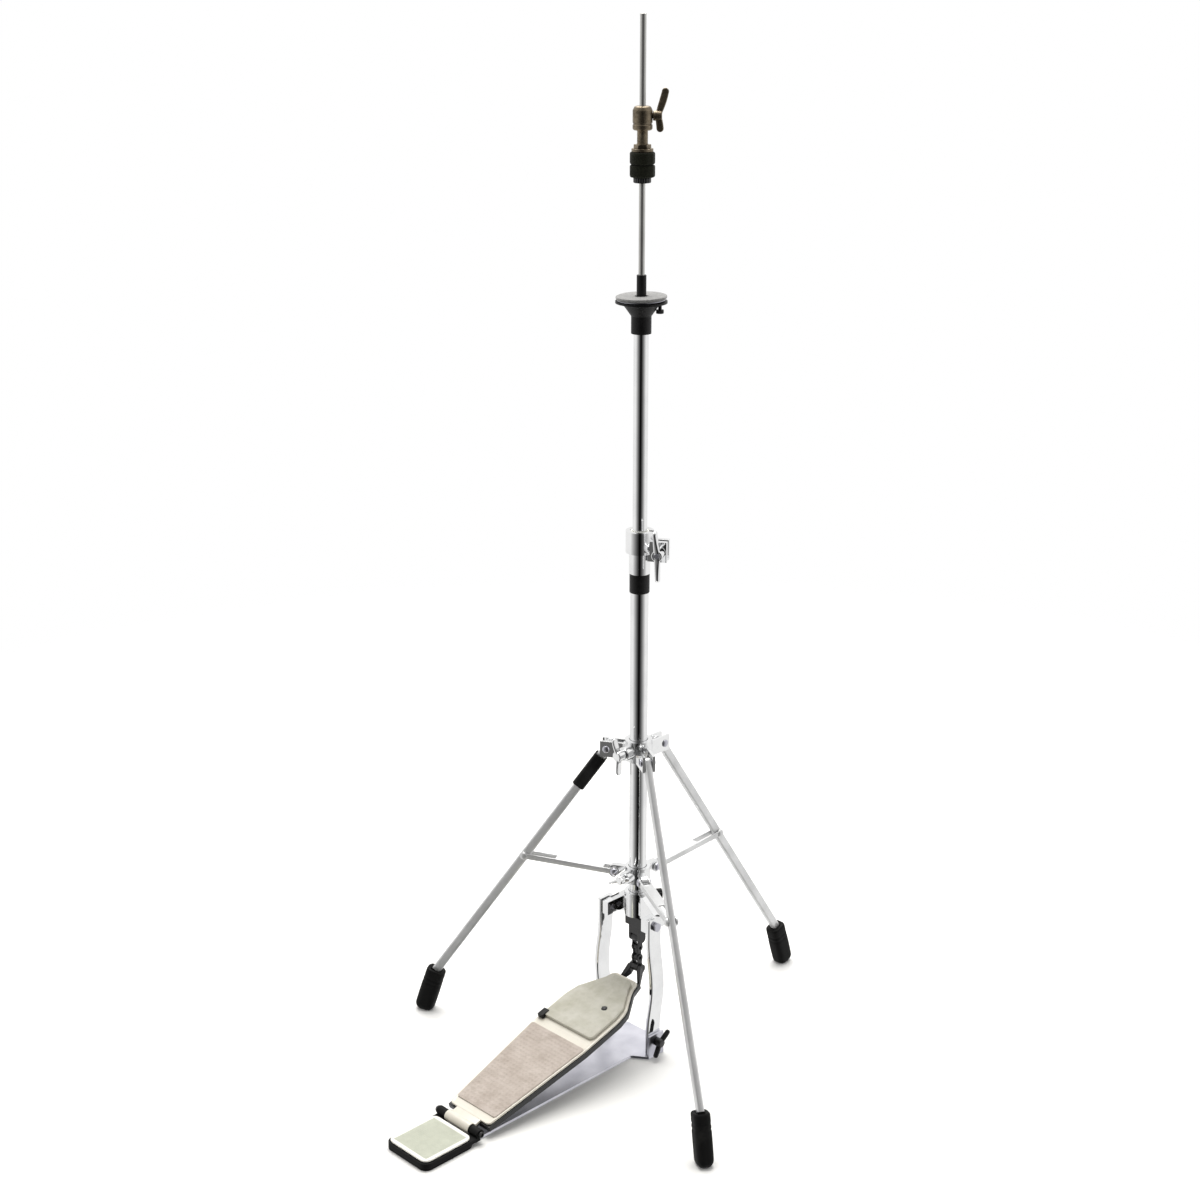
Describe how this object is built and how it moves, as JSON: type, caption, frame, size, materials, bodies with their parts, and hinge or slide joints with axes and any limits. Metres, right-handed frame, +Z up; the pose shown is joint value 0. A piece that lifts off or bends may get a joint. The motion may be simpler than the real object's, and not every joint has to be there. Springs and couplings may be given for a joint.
{
  "type": "hi-hat stand",
  "caption": "Hi-hat stand for a drum kit: footboard pedal, pull rod with clutch, tilting cymbal seat, telescoping tube and folding tripod.",
  "frame": {"origin": "on the stand's axis at floor level, on the underside of the sole plate", "axes": "+Z up along the pull rod, -Y towards the pedal's heel, +X to the player's right of the pedal when seen from the heel"},
  "size_m": [0.4762, 0.6189, 1.14],
  "materials": {
    "chrome": "polished chrome plate",
    "steel": "zinc-plated steel",
    "bronze": "dull bronze plate",
    "black_metal": "satin black",
    "black_rubber": "matt black rubber",
    "black_plastic": "black moulded plastic",
    "cream_enamel": "cream enamel on sheet metal",
    "grip_vinyl": "pink-beige ribbed grip",
    "toe_vinyl": "olive-beige pad",
    "grey_felt": "light grey felt",
    "dark_felt": "dark olive felt",
    "nylon": "white nylon"
  },
  "bodies": {
    "base": {"sole_plate": "steel", "heel_base": "black_rubber", "heel_plate": "cream_enamel", "heel_hinge_pin": "black_metal", "frame_yoke": "chrome", "strut_left": "chrome", "strut_right": "chrome", "strut_bolt_left": "steel", "strut_bolt_right": "steel", "base_pivot_bolt": "steel", "return_spring": "steel", "base_tube": "chrome", "tube_ring": "black_plastic", "tube_sleeve": "nylon", "height_clamp": "chrome", "clamp_bolt": "steel"},
    "footboard": {"footboard_frame": "black_metal", "footboard_plate": "cream_enamel", "footboard_grip": "grip_vinyl", "toe_pad": "toe_vinyl", "toe_fork": "black_metal"},
    "pull_rod": {"upper_pull_rod": "steel", "lower_pull_rod": "steel", "pull_link": "black_metal"},
    "chain": {"drive_chain": "black_metal"},
    "clutch": {"clutch_body": "bronze", "clutch_bottom_nut": "black_metal", "clutch_felt_lower": "dark_felt", "clutch_felt_upper": "dark_felt", "clutch_lock_nut": "bronze"},
    "clutch_screw": {"clutch_wing_screw": "bronze"},
    "upper_stand": {"upper_tube": "chrome", "seat_base": "black_plastic", "seat_sleeve": "black_plastic"},
    "seat": {"seat_cup": "steel", "seat_felt": "grey_felt"},
    "seat_screw": {"seat_tilt_screw": "black_metal"},
    "clamp_nut": {"clamp_wing_nut": "chrome"},
    "base_screw": {"base_wing_screw": "black_metal"},
    "tension_knob": {"spring_tension_knob": "black_plastic"},
    "leg_swivel": {"brace_collar": "chrome", "brace_pin_left": "steel", "brace_pin_right": "steel", "brace_pin_back": "steel"},
    "leg_slider": {"leg_collar": "chrome", "leg_pin_left": "steel", "leg_pin_right": "steel", "leg_pin_back": "steel"},
    "leg_left": {"leg_left": "chrome", "foot_left": "black_rubber", "leg_sleeve": "black_plastic"},
    "leg_right": {"leg_right": "chrome", "foot_right": "black_rubber"},
    "leg_back": {"leg_back": "chrome", "foot_back": "black_rubber"},
    "brace_left": {"brace_left": "chrome"},
    "brace_right": {"brace_right": "chrome"},
    "brace_back": {"brace_back": "chrome"},
    "leg_collar_screw": {"leg_collar_wing_bolt": "chrome"},
    "brace_collar_screw": {"brace_collar_wing_screw": "chrome"}
  },
  "joints": [
    {"name": "footboard_hinge", "type": "hinge", "parent": "base", "child": "footboard", "pos_m": [0, -0.27, 0.011], "axis": [1, 0, 0], "range_deg": [-9.6, 0], "stiffness_Nm_per_rad": 12, "springref_deg": 20.05},
    {"name": "pull_rod_slide", "type": "slide", "parent": "base", "child": "pull_rod", "axis": [0, 0, 1], "range_m": [-0.048, 0], "deforming": ["return_spring"]},
    {"name": "chain_swing", "type": "hinge", "parent": "pull_rod", "child": "chain", "pos_m": [0, 0, 0.1301], "axis": [1, 0, 0], "range_deg": [0, 15]},
    {"name": "height_slide", "type": "slide", "parent": "base", "child": "upper_stand", "axis": [0, 0, 1], "range_m": [-0.185, 0.025]},
    {"name": "seat_tilt", "type": "hinge", "parent": "upper_stand", "child": "seat", "pos_m": [-0.01582, -0.01528, 0.8578], "axis": [0.6947, -0.7193, 0], "range_deg": [-1.5, 4]},
    {"name": "seat_screw_travel", "type": "slide", "parent": "upper_stand", "child": "seat_screw", "axis": [0, 0, 1], "range_m": [-0.0011, 0.0029]},
    {"name": "clutch_slide", "type": "slide", "parent": "pull_rod", "child": "clutch", "axis": [0, 0, 1], "range_m": [-0.015, 0.06]},
    {"name": "clutch_screw_turn", "type": "hinge", "parent": "clutch", "child": "clutch_screw", "pos_m": [0, 0, 1.042], "axis": [0.7193, 0.6947, 0], "continuous": true},
    {"name": "clamp_nut_turn", "type": "hinge", "parent": "base", "child": "clamp_nut", "pos_m": [0.02079, 0.012, 0.5925], "axis": [0.5, -0.866, 0], "continuous": true},
    {"name": "tripod_swivel", "type": "hinge", "parent": "base", "child": "leg_swivel", "pos_m": [0, 0, 0.211], "axis": [0, 0, 1], "range_deg": [-40, 8]},
    {"name": "tripod_fold", "type": "slide", "parent": "leg_swivel", "child": "leg_slider", "axis": [0, 0, 1], "range_m": [0, 0.12538]},
    {"name": "leg_left_hinge", "type": "hinge", "parent": "leg_slider", "child": "leg_left", "pos_m": [-0.03031, -0.0175, 0.36], "axis": [0.5, -0.866, 0], "range_deg": [0, 27.8]},
    {"name": "brace_left_hinge", "type": "hinge", "parent": "leg_swivel", "child": "brace_left", "pos_m": [-0.02252, -0.013, 0.211], "axis": [0.5, -0.866, 0], "range_deg": [-71.33, 0]},
    {"name": "leg_right_hinge", "type": "hinge", "parent": "leg_slider", "child": "leg_right", "pos_m": [0.03031, -0.0175, 0.36], "axis": [0.5, 0.866, 0], "range_deg": [0, 27.8]},
    {"name": "brace_right_hinge", "type": "hinge", "parent": "leg_swivel", "child": "brace_right", "pos_m": [0.02252, -0.013, 0.211], "axis": [0.5, 0.866, 0], "range_deg": [-71.33, 0]},
    {"name": "leg_back_hinge", "type": "hinge", "parent": "leg_slider", "child": "leg_back", "pos_m": [0, 0.035, 0.36], "axis": [-1, 0, 0], "range_deg": [0, 27.8]},
    {"name": "brace_back_hinge", "type": "hinge", "parent": "leg_swivel", "child": "brace_back", "pos_m": [0, 0.026, 0.211], "axis": [-1, 0, 0], "range_deg": [-71.33, 0]},
    {"name": "leg_collar_screw_turn", "type": "hinge", "parent": "leg_slider", "child": "leg_collar_screw", "pos_m": [0, 0, 0.362], "axis": [0, -1, 0], "continuous": true},
    {"name": "brace_collar_screw_turn", "type": "hinge", "parent": "leg_swivel", "child": "brace_collar_screw", "pos_m": [0, 0, 0.211], "axis": [0, -1, 0], "continuous": true},
    {"name": "tension_knob_turn", "type": "hinge", "parent": "base", "child": "tension_knob", "pos_m": [0, 0, 0.182], "axis": [0.5736, 0.8192, 0], "continuous": true},
    {"name": "base_screw_turn", "type": "hinge", "parent": "base", "child": "base_screw", "pos_m": [0, -0.013, 0.019], "axis": [1, 0, 0], "continuous": true}
  ],
  "couplings": [
    {"joint": "pull_rod_slide", "follows": "footboard_hinge", "m_per_rad": 0.28304},
    {"joint": "chain_swing", "follows": "footboard_hinge", "ratio": -1.5408},
    {"joint": "seat_screw_travel", "follows": "seat_tilt", "m_per_rad": 0.039},
    {"joint": "leg_left_hinge", "follows": "tripod_fold", "rad_per_m": 3.8559},
    {"joint": "brace_left_hinge", "follows": "tripod_fold", "rad_per_m": -9.9153},
    {"joint": "leg_right_hinge", "follows": "tripod_fold", "rad_per_m": 3.8559},
    {"joint": "brace_right_hinge", "follows": "tripod_fold", "rad_per_m": -9.9153},
    {"joint": "leg_back_hinge", "follows": "tripod_fold", "rad_per_m": 3.8559},
    {"joint": "brace_back_hinge", "follows": "tripod_fold", "rad_per_m": -9.9153}
  ]
}
